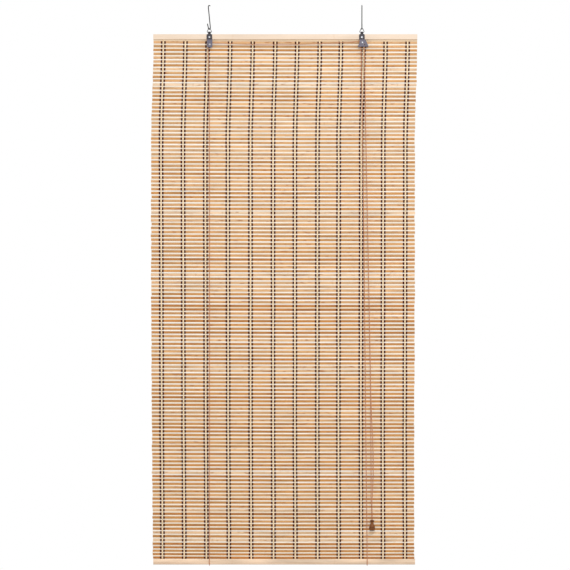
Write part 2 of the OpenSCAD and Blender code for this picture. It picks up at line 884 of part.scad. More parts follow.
// The turned knob, with a hole for the cord and a hollow for its end knot
module cord_knob() {
  r = knob_d / 2;
  color("#82502d")
    translate(knob_top)
      difference() {
        rotate_extrude()
          polygon(concat([[0, 0]], [for (s = knob_shares) [s[1] * r, -s[0] * knob_h]], [[0, -knob_h]]));
        translate([0, 0, -knob_h - overrun]) cylinder(d = knob_hole_d, h = knob_h + 2 * overrun);
        translate([0, 0, -knob_h - overrun]) cylinder(d = knob_hollow_d, h = knob_hollow_h + overrun);
      }
}

// The knot that holds the knob, against the roof of its hollow
module knob_end_knot() {
  color("#b9764f")
    translate(knob_top - [0, 0, knob_h - knob_hollow_h])
      intersection() {
        translate([0, 0, -knot_d / 4]) sphere(d = knot_d);
        translate([-knot_d / 2, -knot_d / 2, -knot_d]) cube(knot_d);
      }
}

head_front_batten();
head_rear_batten();
head_nails();
slat_mat();
dark_warp_threads();
tan_warp_threads();
bottom_front_batten();
bottom_rear_batten();
bottom_nails();
strap_screws();
left_strap();
left_pulley_cover();
left_pulley_wheel();
left_axle_rivet();
left_ring();
left_hook();
lock_strap();
lock_cover();
lock_wheel();
lock_axle_rivet();
lock_roller();
right_ring();
right_hook();
left_front_cord();
left_bottom_loop();
left_back_cord();
left_anchor_knot();
cross_cord();
right_front_cord();
right_bottom_loop();
right_back_cord();
right_anchor_knot();
front_pull_strand();
rear_pull_strand();
pull_knot();
pull_tail();
cord_knob();
knob_end_knot();
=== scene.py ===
import math
import random
import bmesh
import bpy
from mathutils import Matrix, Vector, noise


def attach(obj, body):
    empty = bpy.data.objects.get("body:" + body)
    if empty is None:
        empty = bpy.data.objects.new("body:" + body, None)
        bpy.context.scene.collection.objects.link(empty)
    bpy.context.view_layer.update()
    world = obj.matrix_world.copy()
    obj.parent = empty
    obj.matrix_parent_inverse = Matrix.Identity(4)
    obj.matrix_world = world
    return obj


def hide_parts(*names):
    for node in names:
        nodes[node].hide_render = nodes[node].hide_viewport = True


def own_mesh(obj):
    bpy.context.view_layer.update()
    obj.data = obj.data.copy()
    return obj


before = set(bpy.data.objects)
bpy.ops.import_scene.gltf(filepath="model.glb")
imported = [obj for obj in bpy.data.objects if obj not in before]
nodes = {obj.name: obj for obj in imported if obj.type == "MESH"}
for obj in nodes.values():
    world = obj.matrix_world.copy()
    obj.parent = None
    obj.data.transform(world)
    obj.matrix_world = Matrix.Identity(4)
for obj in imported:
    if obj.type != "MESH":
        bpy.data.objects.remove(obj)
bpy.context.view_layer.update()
mm = 0.001


# small helpers

def toneOf(red, green, blue):
    # a colour as it is seen, made linear for the shader
    def straighten(value):
        share = value / 255
        return share / 12.92 if share <= 0.04045 else ((share + 0.055) / 1.055) ** 2.4
    return (straighten(red), straighten(green), straighten(blue), 1.0)


def clearSelection():
    if bpy.context.object and bpy.context.object.mode != "OBJECT":
        bpy.ops.object.mode_set(mode="OBJECT")
    bpy.ops.object.select_all(action="DESELECT")


def pickOnly(piece):
    clearSelection()
    piece.select_set(True)
    bpy.context.view_layer.objects.active = piece


def bakePlace(piece):
    # the place goes into the mesh, and the object stays at the origin
    pickOnly(piece)
    bpy.ops.object.transform_apply(location=True, rotation=True, scale=True)


def applyModifier(piece, kind, **settings):
    pickOnly(piece)
    modifier = piece.modifiers.new(kind.lower(), kind)
    for key, value in settings.items():
        setattr(modifier, key, value)
    bpy.ops.object.modifier_apply(modifier=modifier.name)


def smoothByAngle(piece, degrees):
    pickOnly(piece)
    bpy.ops.object.shade_smooth_by_angle(angle=math.radians(degrees))


def dress(piece, material):
    piece.data.materials.clear()
    piece.data.materials.append(material)


def joinPieces(pieces, name):
    clearSelection()
    for piece in pieces:
        piece.select_set(True)
    bpy.context.view_layer.objects.active = pieces[0]
    bpy.ops.object.join()
    joined = bpy.context.object
    joined.name = name
    joined.data.name = name
    return joined


# camera straight in front of the blind

cameraSet = {
    "distance": 14.0,
    "aimX": -0.0009,
    "aimZ": -0.7517,
    "faceY": -0.0106,
    "fieldWidth": 1.7273,
    "sensor": 36.0,
    "farthest": 60,
}


def placeCamera():
    s = cameraSet
    clearSelection()
    bpy.ops.object.camera_add(
        location=(s["aimX"], s["faceY"] - s["distance"], s["aimZ"]),
        rotation=(math.pi / 2, 0, 0),
    )
    camera = bpy.context.object
    camera.name = "frontCamera"
    camera.data.sensor_width = s["sensor"]
    camera.data.lens = s["sensor"] * s["distance"] / s["fieldWidth"]
    camera.data.clip_end = s["farthest"]
    bpy.context.scene.camera = camera


placeCamera()
print("camera placed")


# effects that several finishes share

def newGroup(name, inputs, outputs):
    group = bpy.data.node_groups.new(name, "ShaderNodeTree")
    for label, kind, value in inputs:
        socket = group.interface.new_socket(label, in_out="INPUT", socket_type=kind)
        if value is not None:
            socket.default_value = value
    for label, kind in outputs:
        group.interface.new_socket(label, in_out="OUTPUT", socket_type=kind)
    return group, group.nodes.new("NodeGroupInput"), group.nodes.new("NodeGroupOutput")


def addNode(tree, kind, **settings):
    node = tree.nodes.new(kind)
    for key, value in settings.items():
        setattr(node, key, value)
    return node


def plug(tree, source, target):
    tree.links.new(source, target)


def mathNode(tree, operation, first, second=None, third=None):
    node = addNode(tree, "ShaderNodeMath", operation=operation)
    for slotIndex, value in enumerate((first, second, third)):
        if value is None:
            continue
        if isinstance(value, (int, float)):
            node.inputs[slotIndex].default_value = value
        else:
            plug(tree, value, node.inputs[slotIndex])
    return node.outputs[0]


def mixColours(tree, factor, first, second, mode="MIX"):
    node = addNode(tree, "ShaderNodeMix", data_type="RGBA", blend_type=mode)
    for socket, value in ((node.inputs[0], factor), (node.inputs[6], first), (node.inputs[7], second)):
        if isinstance(value, (int, float, tuple)):
            socket.default_value = value
        else:
            plug(tree, value, socket)
    return node.outputs[2]


def dimmed(tree, colour, share):
    grey = addNode(tree, "ShaderNodeCombineColor")
    for channel in range(3):
        plug(tree, share, grey.inputs[channel])
    return mixColours(tree, 1.0, colour, grey.outputs[0], "MULTIPLY")


def stretched(tree, vector, scale):
    node = addNode(tree, "ShaderNodeMapping")
    node.inputs["Scale"].default_value = scale
    plug(tree, vector, node.inputs["Vector"])
    return node.outputs[0]


def noiseOf(tree, vector, scale=1.0, detail=2.0, rough=0.5):
    node = addNode(tree, "ShaderNodeTexNoise")
    node.inputs["Scale"].default_value = scale
    node.inputs["Detail"].default_value = detail
    node.inputs["Roughness"].default_value = rough
    plug(tree, vector, node.inputs["Vector"])
    return node.outputs[0]


def spread(tree, value, low, high, newLow=0.0, newHigh=1.0):
    node = addNode(tree, "ShaderNodeMapRange")
    plug(tree, value, node.inputs["Value"])
    for label, number in (("From Min", low), ("From Max", high), ("To Min", newLow), ("To Max", newHigh)):
        node.inputs[label].default_value = number
    return node.outputs[0]


def makeBambooGroup():
    # long fibres along X, broad patches, and the dark joints of the cane
    group, start, end = newGroup(
        "bambooFibre",
        [
            ("Vector", "NodeSocketVector", None),
            ("Seed", "NodeSocketFloat", 0.0),
            ("Colour", "NodeSocketColor", (0.5, 0.4, 0.3, 1)),
            ("Fibre Colour", "NodeSocketColor", (0.3, 0.2, 0.1, 1)),
            ("Fibre", "NodeSocketFloat", 0.5),
            ("Patch", "NodeSocketFloat", 0.3),
            ("Joints", "NodeSocketFloat", 0.5),
            ("Strokes", "NodeSocketFloat", 0.0),
        ],
        [("Colour", "NodeSocketColor"), ("Rough", "NodeSocketFloat"), ("Height", "NodeSocketFloat")],
    )
    shift = addNode(group, "ShaderNodeCombineXYZ")
    for axis, stride in enumerate((3.7, 1.9, 5.3)):
        plug(group, mathNode(group, "MULTIPLY", start.outputs["Seed"], stride), shift.inputs[axis])
    moved = addNode(group, "ShaderNodeVectorMath", operation="ADD")
    plug(group, start.outputs["Vector"], moved.inputs[0])
    plug(group, shift.outputs[0], moved.inputs[1])
    place = moved.outputs[0]
    fine = noiseOf(group, stretched(group, place, (14, 900, 1500)), 1.0, 3.0, 0.6)
    streak = noiseOf(group, stretched(group, place, (5, 250, 420)), 1.0, 2.0, 0.5)
    broad = noiseOf(group, stretched(group, place, (9, 30, 60)), 1.0, 2.0, 0.5)
    fibre = mathNode(group, "ADD", mathNode(group, "MULTIPLY", fine, 0.5),
                     mathNode(group, "MULTIPLY", streak, 0.5))
    fibreMask = mathNode(group, "MULTIPLY", spread(group, fibre, 0.40, 0.66), start.outputs["Fibre"])
    coloured = mixColours(group, fibreMask, start.outputs["Colour"], start.outputs["Fibre Colour"])
    patch = spread(group, broad, 0.3, 0.7, -1.0, 1.0)
    lift = mathNode(group, "MULTIPLY_ADD", mathNode(group, "MULTIPLY", patch, start.outputs["Patch"]),
                    0.5, 1.0)
    coloured = dimmed(group, coloured, lift)
    # one joint of the cane in each jointPitch, at a place of its own in each slat
    jointPitch, jointWobble = 0.31, 0.012
    split = addNode(group, "ShaderNodeSeparateXYZ")
    plug(group, place, split.inputs[0])
    wobble = mathNode(group, "MULTIPLY", broad, jointWobble)
    along = mathNode(group, "DIVIDE", mathNode(group, "ADD", split.outputs[0], wobble), jointPitch)
    nearJoint = mathNode(group, "ABSOLUTE", mathNode(group, "SUBTRACT", mathNode(group, "FRACT", along), 0.5))
    jointMask = mathNode(group, "MULTIPLY", spread(group, nearJoint, 0.011, 0.0), start.outputs["Joints"])
    coloured = mixColours(group, jointMask, coloured, start.outputs["Fibre Colour"])
    # short dark strokes where the skin of the cane was thicker
    stroke = noiseOf(group, stretched(group, place, (48, 120, 230)), 1.0, 1.0, 0.4)
    strokeMask = mathNode(group, "MULTIPLY", spread(group, stroke, 0.6, 0.74), start.outputs["Strokes"])
    coloured = mixColours(group, strokeMask, coloured, start.outputs["Fibre Colour"])
    plug(group, coloured, end.inputs["Colour"])
    plug(group, spread(group, fibre, 0.3, 0.7, 0.42, 0.66), end.inputs["Rough"])
    height = mathNode(group, "ADD", fibre, mathNode(group, "MULTIPLY", jointMask, 0.6))
    plug(group, height, end.inputs["Height"])
    return group


def makeYarnGroup():
    # plies that wind round the strand: U goes round it, V along it in strand widths
    group, start, end = newGroup(
        "yarnTwist",
        [
            ("UV", "NodeSocketVector", None),
            ("Vector", "NodeSocketVector", None),
            ("Colour", "NodeSocketColor", (0.5, 0.4, 0.3, 1)),
            ("Groove Colour", "NodeSocketColor", (0.3, 0.2, 0.1, 1)),
            ("Plies", "NodeSocketFloat", 3.0),
            ("Lay", "NodeSocketFloat", 0.7),
            ("Fuzz", "NodeSocketFloat", 0.3),
        ],
        [("Colour", "NodeSocketColor"), ("Rough", "NodeSocketFloat"), ("Height", "NodeSocketFloat")],
    )
    split = addNode(group, "ShaderNodeSeparateXYZ")
    plug(group, start.outputs["UV"], split.inputs[0])
    around = mathNode(group, "MULTIPLY", split.outputs[0], start.outputs["Plies"])
    along = mathNode(group, "MULTIPLY", split.outputs[1], start.outputs["Lay"])
    winds = []
    for operation in ("ADD", "SUBTRACT"):
        turns = mathNode(group, operation, around, along)
        winds.append(mathNode(group, "SINE", mathNode(group, "MULTIPLY", turns, 2 * math.pi)))
    braid = mathNode(group, "MAXIMUM", *winds)
    fuzz = noiseOf(group, stretched(group, start.outputs["Vector"], (2500, 2500, 900)), 1.0, 3.0, 0.6)
    broad = noiseOf(group, start.outputs["Vector"], 60.0, 2.0, 0.5)
    # painted shade: the grooves between the plies take the darker colour, which the fuzz also uses
    groove = spread(group, braid, 0.75, -0.2)
    coloured = mixColours(group, mathNode(group, "MULTIPLY", groove, 0.75), start.outputs["Colour"],
                          start.outputs["Groove Colour"])
    fuzzMask = mathNode(group, "MULTIPLY", spread(group, fuzz, 0.35, 0.7), start.outputs["Fuzz"])
    coloured = mixColours(group, fuzzMask, coloured, start.outputs["Groove Colour"])
    shade = spread(group, broad, 0.3, 0.7, 0.88, 1.08)
    coloured = dimmed(group, coloured, shade)
    plug(group, coloured, end.inputs["Colour"])
    plug(group, spread(group, fuzz, 0.3, 0.7, 0.78, 0.95), end.inputs["Rough"])
    plug(group, mathNode(group, "ADD", braid, mathNode(group, "MULTIPLY", fuzz, 0.5)), end.inputs["Height"])
    return group


def makeMetalGroup():
    # rolled sheet or drawn wire: fine scratches, cloudy tarnish and small bright rubs
    group, start, end = newGroup(
        "workedMetal",
        [
            ("Vector", "NodeSocketVector", None),
            ("Colour", "NodeSocketColor", (0.4, 0.4, 0.4, 1)),
            ("Rub Colour", "NodeSocketColor", (0.7, 0.7, 0.7, 1)),
            ("Tarnish Colour", "NodeSocketColor", (0.2, 0.2, 0.2, 1)),
            ("Rub", "NodeSocketFloat", 0.4),
            ("Tarnish", "NodeSocketFloat", 0.4),
            ("Rough", "NodeSocketFloat", 0.35),
        ],
        [("Colour", "NodeSocketColor"), ("Rough", "NodeSocketFloat"), ("Height", "NodeSocketFloat")],
    )
    scratch = noiseOf(group, stretched(group, start.outputs["Vector"], (5200, 900, 700)), 1.0, 3.0, 0.6)
    cloud = noiseOf(group, start.outputs["Vector"], 240.0, 3.0, 0.55)
    fleck = noiseOf(group, start.outputs["Vector"], 900.0, 2.0, 0.5)
    tarnish = mathNode(group, "MULTIPLY", spread(group, cloud, 0.42, 0.68), start.outputs["Tarnish"])
    coloured = mixColours(group, tarnish, start.outputs["Colour"], start.outputs["Tarnish Colour"])
    rub = mathNode(group, "MULTIPLY", spread(group, fleck, 0.58, 0.7), start.outputs["Rub"])
    coloured = mixColours(group, rub, coloured, start.outputs["Rub Colour"])
    plug(group, coloured, end.inputs["Colour"])
    rough = mathNode(group, "ADD", start.outputs["Rough"], spread(group, scratch, 0.3, 0.7, -0.08, 0.12))
    plug(group, rough, end.inputs["Rough"])
    height = mathNode(group, "ADD", mathNode(group, "MULTIPLY", scratch, 0.4), cloud)
    plug(group, height, end.inputs["Height"])
    return group


bambooFibre = makeBambooGroup()
yarnTwist = makeYarnGroup()
workedMetal = makeMetalGroup()


def newMaterial(name):
    material = bpy.data.materials.new(name)
    material.use_nodes = True
    tree = material.node_tree
    shader = tree.nodes["Principled BSDF"]
    places = addNode(tree, "ShaderNodeTexCoord")
    return material, tree, shader, places


def addBump(tree, shader, height, strength, distance):
    bump = addNode(tree, "ShaderNodeBump")
    bump.inputs["Strength"].default_value = strength
    bump.inputs["Distance"].default_value = distance
    plug(tree, height, bump.inputs["Height"])
    plug(tree, bump.outputs[0], shader.inputs["Normal"])


def placeGroup(tree, group, **values):
    node = addNode(tree, "ShaderNodeGroup", node_tree=group)
    for label, value in values.items():
        node.inputs[label.replace("_", " ")].default_value = value
    return node


def bambooFinish(name, colour, fibreColour, fibre, patch, joints, gloss, strokes=0.0, tones=None,
                 paintedLowEdgeShade=None):
    material, tree, shader, places = newMaterial(name)
    group = placeGroup(tree, bambooFibre, Colour=colour, Fibre_Colour=fibreColour,
                       Fibre=fibre, Patch=patch, Joints=joints, Strokes=strokes)
    plug(tree, places.outputs["Object"], group.inputs["Vector"])
    if tones:
        seed = addNode(tree, "ShaderNodeAttribute", attribute_name="slatSeed")
        plug(tree, seed.outputs["Fac"], group.inputs["Seed"])
        tone = addNode(tree, "ShaderNodeAttribute", attribute_name="slatTone")
        ramp = addNode(tree, "ShaderNodeValToRGB")
        while len(ramp.color_ramp.elements) < len(tones):
            ramp.color_ramp.elements.new(0.5)
        for element, (share, shadeColour) in zip(ramp.color_ramp.elements, tones):
            element.position = share
            element.color = shadeColour
        plug(tree, tone.outputs["Fac"], ramp.inputs[0])
        plug(tree, ramp.outputs[0], group.inputs["Colour"])
    coloured = group.outputs["Colour"]
    if paintedLowEdgeShade:
        # painted shade: a tone that deepens between two heights, on the rounded lower edge of the rail
        fromZ, toZ, tint = paintedLowEdgeShade
        split = addNode(tree, "ShaderNodeSeparateXYZ")
        plug(tree, places.outputs["Object"], split.inputs[0])
        coloured = mixColours(tree, spread(tree, split.outputs[2], fromZ, toZ), coloured, tint, "MULTIPLY")
    plug(tree, coloured, shader.inputs["Base Color"])
    plug(tree, group.outputs["Rough"], shader.inputs["Roughness"])
    shader.inputs["Specular IOR Level"].default_value = gloss
    addBump(tree, shader, group.outputs["Height"], 0.25, 0.0003)
    return material


def yarnFinish(name, colour, grooveShadeAndFuzzColour, plies, lay):
    material, tree, shader, places = newMaterial(name)
    group = placeGroup(tree, yarnTwist, Colour=colour, Groove_Colour=grooveShadeAndFuzzColour, Plies=plies, Lay=lay,
                       Fuzz=0.3)
    plug(tree, places.outputs["UV"], group.inputs["UV"])
    plug(tree, places.outputs["Object"], group.inputs["Vector"])
    plug(tree, group.outputs["Colour"], shader.inputs["Base Color"])
    plug(tree, group.outputs["Rough"], shader.inputs["Roughness"])
    shader.inputs["Specular IOR Level"].default_value = 0.15
    shader.inputs["Sheen Weight"].default_value = 0.15
    addBump(tree, shader, group.outputs["Height"], 0.6, 0.0003)
    return material


def metalFinish(name, colour, rubColour, tarnishColour, metallic, rough, gloss=0.5):
    material, tree, shader, places = newMaterial(name)
    group = placeGroup(tree, workedMetal, Colour=colour, Rub_Colour=rubColour, Tarnish_Colour=tarnishColour,
                       Rub=0.3, Tarnish=0.4, Rough=rough)
    plug(tree, places.outputs["Object"], group.inputs["Vector"])
    plug(tree, group.outputs["Colour"], shader.inputs["Base Color"])
    plug(tree, group.outputs["Rough"], shader.inputs["Roughness"])
    shader.inputs["Metallic"].default_value = metallic
    shader.inputs["Specular IOR Level"].default_value = gloss
    addBump(tree, shader, group.outputs["Height"], 0.15, 0.0001)
    return material


# cords: rings of points along a smooth line through each route, in millimetres

cordSet = {
    "diameter": 2.3 * mm,
    "sides": 10,
    "ringStep": 1.2 * mm,
    "plies": 3,
    "twistLength": 12 * mm,
    "plyDepth": 0.07,
    "colour": toneOf(214, 155, 118),
    # the darker colour is painted shade in the grooves between the plies, and the colour of the fuzz
    "grooveShadeAndFuzzColour": toneOf(176, 111, 75),
}

cordMaterial = yarnFinish("reddishBraid", cordSet["colour"], cordSet["grooveShadeAndFuzzColour"], plies=4.0, lay=0.35)


def smoothRoute(points, step, before=None, after=None):
    # a rounded line through every point, cut into equal steps
    knots = [Vector(p) * mm for p in points]
    first = Vector(before) * mm if before else knots[0] * 2 - knots[1]
    last = Vector(after) * mm if after else knots[-1] * 2 - knots[-2]
    chain = [first] + knots + [last]
    dense = [knots[0]]
    for i in range(1, len(chain) - 2):
        a, b, c, d = chain[i - 1:i + 3]
        spans = [max((q - p).length ** 0.5, 1e-6) for p, q in ((a, b), (b, c), (c, d))]
        t1, t2, t3 = spans[0], spans[0] + spans[1], sum(spans)
        count = max(2, int((c - b).length / step * 1.5))
        for k in range(1, count + 1):
            t = t1 + (t2 - t1) * k / count
            ab = a * ((t1 - t) / t1) + b * (t / t1)
            bc = b * ((t2 - t) / (t2 - t1)) + c * ((t - t1) / (t2 - t1))
            cd = c * ((t3 - t) / (t3 - t2)) + d * ((t - t2) / (t3 - t2))
            abc = ab * ((t2 - t) / t2) + bc * (t / t2)
            bcd = bc * ((t3 - t) / (t3 - t1)) + cd * ((t - t1) / (t3 - t1))
            dense.append(abc * ((t2 - t) / (t2 - t1)) + bcd * ((t - t1) / (t2 - t1)))
    lengths = [0.0]
    for p, q in zip(dense, dense[1:]):
        lengths.append(lengths[-1] + (q - p).length)
    total = lengths[-1]
    count = max(4, round(total / step))
    line, j = [], 0
    for k in range(count + 1):
        target = total * k / count
        while j < len(lengths) - 2 and lengths[j + 1] < target:
            j += 1
        share = (target - lengths[j]) / max(lengths[j + 1] - lengths[j], 1e-9)
        line.append(dense[j].lerp(dense[j + 1], min(1.0, share)))
    return line, total


def cordTube(name, line, diameter, plies, twistLength, plyDepth, sides, closed=False):
    bm = bmesh.new()
    uvLayer = bm.loops.layers.uv.new("UVMap")
    count = len(line)
    rings, travelled = [], [0.0]
    side = None
    for i, point in enumerate(line):
        if closed:
            ahead = line[(i + 1) % count] - line[i - 1]
        else:
            ahead = line[min(i + 1, count - 1)] - line[max(i - 1, 0)]
        ahead.normalize()
        if side is None:
            side = ahead.cross(Vector((0.13, 1.0, 0.21))).normalized()
        side = (side - ahead * side.dot(ahead)).normalized()
        other = ahead.cross(side)
        if i:
            travelled.append(travelled[-1] + (line[i] - line[i - 1]).length)
        turn = 2 * math.pi * travelled[i] / twistLength
        ring = []
        for k in range(sides):
            angle = 2 * math.pi * k / sides
            radius = diameter / 2 * (1 - plyDepth / 2 + plyDepth * math.cos(plies * angle - turn * plies))
            ring.append(bm.verts.new(point + (side * math.cos(angle) + other * math.sin(angle)) * radius))
        rings.append(ring)
    spans = count if closed else count - 1
    for i in range(spans):
        nextRing = rings[(i + 1) % count]
        low = travelled[i] / diameter
        high = (travelled[i + 1] if i + 1 < count else travelled[i]) / diameter
        for k in range(sides):
            n = (k + 1) % sides
            face = bm.faces.new((rings[i][k], rings[i][n], nextRing[n], nextRing[k]))
            face.smooth = True
            corners = ((k / sides, low), ((k + 1) / sides, low), ((k + 1) / sides, high), (k / sides, high))
            for loop, corner in zip(face.loops, corners):
                loop[uvLayer].uv = corner
    if not closed:
        bm.faces.new(list(reversed(rings[0])))
        bm.faces.new(rings[-1])
    bmesh.ops.recalc_face_normals(bm, faces=bm.faces)
    mesh = bpy.data.meshes.new(name)
    bm.to_mesh(mesh)
    bm.free()
    piece = bpy.data.objects.new(name, mesh)
    bpy.context.scene.collection.objects.link(piece)
    return piece


def layCord(name, node, route, body="blind", before=None, after=None, **changes):
    s = dict(cordSet, **changes)
    line, length = smoothRoute(route, s["ringStep"], before, after)
    piece = cordTube(name, line, s["diameter"], s["plies"], s["twistLength"], s["plyDepth"], s["sides"])
    dress(piece, cordMaterial)
    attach(piece, body)
    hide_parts(node)
    return piece, line, length


liftRoutes = {
    "left_front_cord": [
        (-234.2, -21.6, -23.5), (-230.6, -21.5, -150), (-229.3, -21.3, -300), (-229.1, -20.9, -600),
        (-229.2, -20.2, -1100), (-230, -19.3, -1570), (-230, -19.3, -1588),
    ],
    "right_front_cord": [
        (228.7, -21.2, -17.4), (231.2, -21.2, -120), (234.1, -21.1, -300), (237.9, -20.8, -600),
        (241, -20.4, -880), (243.9, -20, -1180), (248, -19.3, -1570), (248, -19.3, -1588),
    ],
    "left_back_cord": [(-230, -1.3, -1588), (-230, -1.3, -1570), (-230, -2, -800), (-230, -3.5, -8)],
    "right_back_cord": [(248, -1.3, -1588), (248, -1.3, -1570), (240, -2, -800), (232, -3.5, -8)],
}
crossRoute = [
    (-234.2, -21.6, -23.5), (-233.5, -21.6, -20.8), (-231.5, -21.6, -18.8), (-228.8, -21.6, -18.1),
    (-222, -21.7, -18.4), (-180, -22, -20.6), (-110, -22.6, -23.1), (-30, -23.2, -24.1), (60, -23.9, -22.7),
    (140, -24.6, -19.4), (200, -25.1, -15.7), (226, -25.4, -13.3), (233.1, -25.4, -12.6),
    (236.2, -25.4, -13.4), (237.9, -25.4, -15.3), (238.4, -25.4, -17.4),
]
frontStrandRoute = [
    (238.4, -25.4, -17.4), (241, -25.4, -120), (244, -25.6, -300), (249.8, -25.8, -600), (255.6, -26, -900),
    (260.2, -26.1, -1120), (265.4, -26.2, -1240), (266.2, -26.2, -1320), (262.6, -26.2, -1410),
]
rearStrandRoute = [
    (228.7, -21.2, -17.4), (229.3, -21.2, -15), (231.1, -21.2, -13.2), (233.5, -21.2, -12.5),
    (235.9, -21.2, -13.2), (237.7, -21.2, -15), (238.4, -21.2, -17.4), (241, -21.6, -120),
    (244, -22.4, -300), (249.6, -22.8, -600), (255.2, -23, -900), (258.6, -23.2, -1120), (259.2, -24, -1240),
    (259.8, -25.2, -1320), (259.8, -26.2, -1410),
]
tailRoute = [(261.4, -26.2, -1416.4), (262.4, -26.2, -1440), (262.6, -26.2, -1485)]
loopRoute = [
    (-19.3, -1588), (-19.3, -1596.2), (-18.7, -1598.5), (-17, -1600.2), (-14.7, -1600.8), (-5.9, -1600.8),
    (-3.6, -1600.2), (-1.9, -1598.5), (-1.3, -1596.2), (-1.3, -1588),
]
loopPlaces = {"left_bottom_loop": -230, "right_bottom_loop": 248}
# points past the ends of three routes, which give the cords their way there
crossBefore, crossAfter = (-234.2, -21.6, -27), (238.4, -25.4, -21)
frontBefore, rearBefore = (238.4, -25.4, -14), (228.7, -21.2, -20)
knotSet = {
    "strand": 2.0 * mm,
    "reach": 1.35 * mm,
    "rings": 72,
    "plies": 3,
    "twistLength": 9 * mm,
    "plyDepth": 0.06,
    "sides": 8,
    # middle of each knot, and how high it stands for its reach
    "pullKnot": ((261.3, -26.2, -1413.2), 1.1),
    "endKnot": ((262.6, -26.2, -1486.6), 0.5),
    "anchors": {"left_anchor_knot": (-230, -3.5, 9.6), "right_anchor_knot": (232, -3.5, 9.6)},
    "anchorRise": 0.8,
    "stemEnds": (-8, 9),
    "stemTwist": 12 * mm,
}


def tieKnot(name, middle, rise):
    # an overhand knot pulled tight: a strand that winds three times through itself
    s = knotSet
    line = []
    for k in range(s["rings"]):
        t = 2 * math.pi * k / s["rings"]
        swing = 1 + 0.5 * math.cos(3 * t)
        way = Vector((swing * math.cos(2 * t), swing * math.sin(2 * t), rise * math.sin(3 * t)))
        line.append(Vector(middle) * mm + way * s["reach"])
    piece = cordTube(name, line, s["strand"], s["plies"], s["twistLength"], s["plyDepth"], s["sides"],
                     closed=True)
    dress(piece, cordMaterial)
    return piece


def finishKnot(piece, node):
    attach(piece, "blind")
    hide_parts(node)
    return piece


def layCords():
    for node, route in liftRoutes.items():
        name = "".join(word if i == 0 else word.title() for i, word in enumerate(node.split("_")))
        piece = layCord(name, node, route)[0]
        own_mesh(piece)
    layCord("crossCord", "cross_cord", crossRoute, before=crossBefore, after=crossAfter)
    for node, x in loopPlaces.items():
        name = "leftBottomLoop" if x < 0 else "rightBottomLoop"
        layCord(name, node, [(x, y, z) for y, z in loopRoute], body="bottom_rail")
    s = knotSet
    for node, middle in s["anchors"].items():
        # the knot on top of the rail, with the cord that goes down through it
        knot = tieKnot("knotTop", middle, s["anchorRise"])
        stem, _ = smoothRoute([(middle[0], middle[1], z) for z in s["stemEnds"]], cordSet["ringStep"])
        stemPiece = cordTube("stem", stem, cordSet["diameter"], s["plies"], s["stemTwist"], s["plyDepth"],
                             s["sides"])
        dress(stemPiece, cordMaterial)
        joined = joinPieces([knot, stemPiece], "leftAnchorKnot" if middle[0] < 0 else "rightAnchorKnot")
        finishKnot(joined, node)
    pullKnot = finishKnot(tieKnot("pullKnot", *s["pullKnot"]), "pull_knot")
    endKnot = finishKnot(tieKnot("knobEndKnot", *s["endKnot"]), "knob_end_knot")
    front, line, length = layCord("frontPullStrand", "front_pull_strand", frontStrandRoute,
                                  before=frontBefore)
    rear, line, length = layCord("rearPullStrand", "rear_pull_strand", rearStrandRoute, before=rearBefore)
    return endKnot


endKnot = layCords()
print("cords laid")


# the turned knob at the end of the tail

knobSet = {
    "top": (262.6, -26.2, -1463.0),
    "height": 32.0,
    "radius": 8.7,
    "hole": 1.9,
    "hollow": 4.8,
    "hollowDepth": 10.0,
    "sides": 40,
    "hollowEdge": 0.6,
    "hollowShares": (0.98, 0.86),
    # shares of the height from the top, and of the radius
    "profile": [
        (0.0, 0.4), (0.008, 0.52), (0.02, 0.61), (0.04, 0.7), (0.065, 0.775), (0.09, 0.8), (0.115, 0.79),
        (0.14, 0.735), (0.165, 0.65), (0.19, 0.57), (0.22, 0.515), (0.255, 0.5), (0.29, 0.505), (0.33, 0.54),
        (0.4, 0.655), (0.46, 0.76), (0.52, 0.85), (0.58, 0.915), (0.64, 0.96), (0.7, 0.988), (0.76, 1.0),
        (0.82, 0.997), (0.87, 0.98), (0.915, 0.947), (0.95, 0.905), (0.98, 0.845), (1.0, 0.77),
    ],
    "body": toneOf(139, 83, 40),
    "grain": toneOf(97, 53, 22),
    # the colour of the painted dark reflection bands
    "rim": toneOf(62, 33, 13),
    # painted dark reflection: dark bands round the varnished outline of the knob; the middle and half width
    # of each, in shares of the height
    "darkReflectionBands": ((0.1, 0.07), (0.735, 0.05), (0.97, 0.05)),
    "darkReflectionCore": 0.4,
    "darkReflectionDepth": 0.8,
}


def knobFinish():
    s = knobSet
    material, tree, shader, places = newMaterial("varnishedKnob")
    group = placeGroup(tree, bambooFibre, Colour=s["body"], Fibre_Colour=s["grain"],
                       Fibre=0.75, Patch=0.35, Joints=0.0)
    # the grain stands upright in the knob
    turned = addNode(tree, "ShaderNodeMapping")
    turned.inputs["Rotation"].default_value = (0, math.pi / 2, 0)
    plug(tree, places.outputs["Object"], turned.inputs["Vector"])
    plug(tree, turned.outputs[0], group.inputs["Vector"])
    split = addNode(tree, "ShaderNodeSeparateXYZ")
    plug(tree, places.outputs["Object"], split.inputs[0])
    below = mathNode(tree, "SUBTRACT", s["top"][2] * mm, split.outputs[2])
    down = mathNode(tree, "DIVIDE", below, s["height"] * mm)
    coloured = group.outputs["Colour"]
    # painted dark reflection: the knob's outline darkened in bands
    for middle, half in s["darkReflectionBands"]:
        away = mathNode(tree, "ABSOLUTE", mathNode(tree, "SUBTRACT", down, middle))
        darkReflectionMask = spread(tree, away, half, half * s["darkReflectionCore"], 0.0, s["darkReflectionDepth"])
        coloured = mixColours(tree, darkReflectionMask, coloured, s["rim"])
    plug(tree, coloured, shader.inputs["Base Color"])
    plug(tree, group.outputs["Rough"], shader.inputs["Roughness"])
    shader.inputs["Specular IOR Level"].default_value = 0.25
    shader.inputs["Coat Weight"].default_value = 0.08
    shader.inputs["Coat Roughness"].default_value = 0.2
    addBump(tree, shader, group.outputs["Height"], 0.15, 0.0002)
    return material


